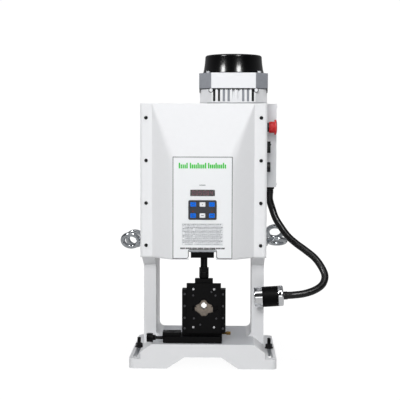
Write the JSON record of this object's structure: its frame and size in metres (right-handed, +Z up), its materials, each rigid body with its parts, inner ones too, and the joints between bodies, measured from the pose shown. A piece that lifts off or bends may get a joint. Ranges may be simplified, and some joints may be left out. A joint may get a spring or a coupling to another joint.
{
  "type": "terminal crimping machine",
  "caption": "Motor driven bench press that crimps cable terminals in a hexagon die, with a keypad panel, side controls and a gooseneck lamp.",
  "frame": {"origin": "centre of the base footprint, over its two ears, on the floor", "axes": "+Z up, +X to the machine's right seen from the front, +Y towards the back; the control panel faces -Y"},
  "size_m": [0.546, 0.3195, 0.8055],
  "materials": {
    "base_paint": "satin white enamel",
    "frame_paint": "satin white enamel",
    "cover_paint": "fine textured white powder coat",
    "box_paint": "light grey powder coat",
    "panel_foil": "printed polyester sheet",
    "display": "dark tinted window",
    "keypad_frame": "dark membrane keypad",
    "blue_keys": "blue keys",
    "white_keys": "white keys",
    "switch_plastic": "black moulded plastic",
    "red_plastic": "red moulded plastic",
    "gooseneck": "black sleeve",
    "lamp_black": "black anodised body",
    "lamp_chrome": "polished chrome",
    "lamp_glass": "clear lens",
    "zinc_steel": "bright zinc plate",
    "black_screws": "black oxide fasteners",
    "motor_alloy": "cast and machined alloy",
    "cap_plastic": "gloss black",
    "machined_steel": "ground steel",
    "brass": "turned brass",
    "black_oxide": "black oxide tool steel",
    "jaw_steel": "hardened tool steel",
    "bright_screws": "bright socket screws"
  },
  "bodies": {
    "root": {"base": "base_paint", "left_side_plate": "frame_paint", "right_side_plate": "frame_paint", "top_plate": "frame_paint", "bearing_plate": "machined_steel", "front_cover": "cover_paint", "rear_cover": "cover_paint", "cover_screws": "black_screws", "control_panel": "panel_foil", "display_window": "display", "keypad_frame": "keypad_frame", "control_box": "box_paint", "box_lid": "box_paint", "estop_base": "switch_plastic", "rocker_bezel": "switch_plastic", "pedal_socket": "switch_plastic", "lamp_gland": "switch_plastic", "eye_bolts": "zinc_steel", "hold_down_bolts": "black_screws", "motor_housing": "motor_alloy", "end_shield": "motor_alloy", "fan_cap": "cap_plastic", "stator": "machined_steel", "gearbox_housing": "motor_alloy", "gearbox_lid": "motor_alloy", "shaft_bearings": "machined_steel", "ram_guides": "machined_steel", "die_body": "black_oxide", "die_front_plate": "black_oxide", "fixed_jaws": "jaw_steel", "die_screws": "bright_screws", "clamp_plate": "black_oxide", "stop_screw": "brass"},
    "crank": {"crankshaft": "machined_steel", "worm_wheel": "brass"},
    "roller": {"cam_roller": "machined_steel"},
    "motor_rotor": {"rotor_shaft": "machined_steel", "cooling_fan": "cap_plastic", "shaft_coupling": "motor_alloy", "worm": "machined_steel"},
    "ram_slide_group": {"ram": "machined_steel", "tool_holder": "black_oxide", "die_rod": "black_oxide", "lock_nut": "black_oxide", "die_slide": "black_oxide", "upper_jaw": "jaw_steel"},
    "estop": {"estop_button": "red_plastic"},
    "rocker": {"rocker_switch": "switch_plastic"},
    "jaw_clamp": {"clamp_jaw": "black_oxide"},
    "jaw_clamp_screw": {"clamp_screw": "black_oxide"},
    "lamp": {"lamp_arm": "gooseneck", "lamp_body": "lamp_black", "lamp_rings": "lamp_chrome", "lamp_lens": "lamp_glass"},
    "key_1_cap": {"key_1": "blue_keys"},
    "key_2_cap": {"key_2": "white_keys"},
    "key_3_cap": {"key_3": "blue_keys"},
    "key_4_cap": {"key_4": "blue_keys"},
    "key_5_cap": {"key_5": "white_keys"},
    "key_6_cap": {"key_6": "blue_keys"}
  },
  "joints": [
    {"name": "motor_spin", "type": "hinge", "parent": "root", "child": "motor_rotor", "pos_m": [0.076, -0.005, 0.6], "axis": [0, 0, 1], "range_deg": [0, 1800]},
    {"name": "crank_turn", "type": "hinge", "parent": "root", "child": "crank", "pos_m": [0, 0, 0.47], "axis": [0, 1, 0], "range_deg": [0, 180]},
    {"name": "roller_spin", "type": "hinge", "parent": "crank", "child": "roller", "pos_m": [0, -0.112, 0.475], "axis": [0, 1, 0], "continuous": true},
    {"name": "ram_travel", "type": "slide", "parent": "root", "child": "ram_slide_group", "axis": [0, 0, -1], "range_m": [0, 0.01]},
    {"name": "estop_press", "type": "slide", "parent": "root", "child": "estop", "axis": [-1, 0, 0], "range_m": [0, 0.005], "stiffness_N_per_m": 1200, "springref_m": -0.003},
    {"name": "rocker_tip", "type": "hinge", "parent": "root", "child": "rocker", "pos_m": [0.167, -0.035, 0.562], "axis": [0, 1, 0], "range_deg": [-14, 0]},
    {"name": "clamp_jaw_travel", "type": "slide", "parent": "root", "child": "jaw_clamp", "axis": [1, 0, 0], "range_m": [0, 0.0025]},
    {"name": "clamp_screw_turn", "type": "hinge", "parent": "jaw_clamp", "child": "jaw_clamp_screw", "pos_m": [-0.1, -0.134, 0.075], "axis": [1, 0, 0], "range_deg": [0, 720]},
    {"name": "lamp_swing", "type": "hinge", "parent": "root", "child": "lamp", "pos_m": [0.175, 0.03, 0.45], "axis": [0, 0, 1], "range_deg": [-10, 35]},
    {"name": "key_1_press", "type": "slide", "parent": "root", "child": "key_1_cap", "axis": [0, 1, 0], "range_m": [0, 0.0005], "stiffness_N_per_m": 400, "springref_m": -0.0005},
    {"name": "key_2_press", "type": "slide", "parent": "root", "child": "key_2_cap", "axis": [0, 1, 0], "range_m": [0, 0.0005], "stiffness_N_per_m": 400, "springref_m": -0.0005},
    {"name": "key_3_press", "type": "slide", "parent": "root", "child": "key_3_cap", "axis": [0, 1, 0], "range_m": [0, 0.0005], "stiffness_N_per_m": 400, "springref_m": -0.0005},
    {"name": "key_4_press", "type": "slide", "parent": "root", "child": "key_4_cap", "axis": [0, 1, 0], "range_m": [0, 0.0005], "stiffness_N_per_m": 400, "springref_m": -0.0005},
    {"name": "key_5_press", "type": "slide", "parent": "root", "child": "key_5_cap", "axis": [0, 1, 0], "range_m": [0, 0.0005], "stiffness_N_per_m": 400, "springref_m": -0.0005},
    {"name": "key_6_press", "type": "slide", "parent": "root", "child": "key_6_cap", "axis": [0, 1, 0], "range_m": [0, 0.0005], "stiffness_N_per_m": 400, "springref_m": -0.0005}
  ],
  "couplings": [
    {"joint": "crank_turn", "follows": "motor_spin", "ratio": 0.1},
    {"joint": "ram_travel", "follows": "motor_spin", "m_per_rad": 0.0003183},
    {"joint": "clamp_screw_turn", "follows": "clamp_jaw_travel", "rad_per_m": 5026.5}
  ]
}
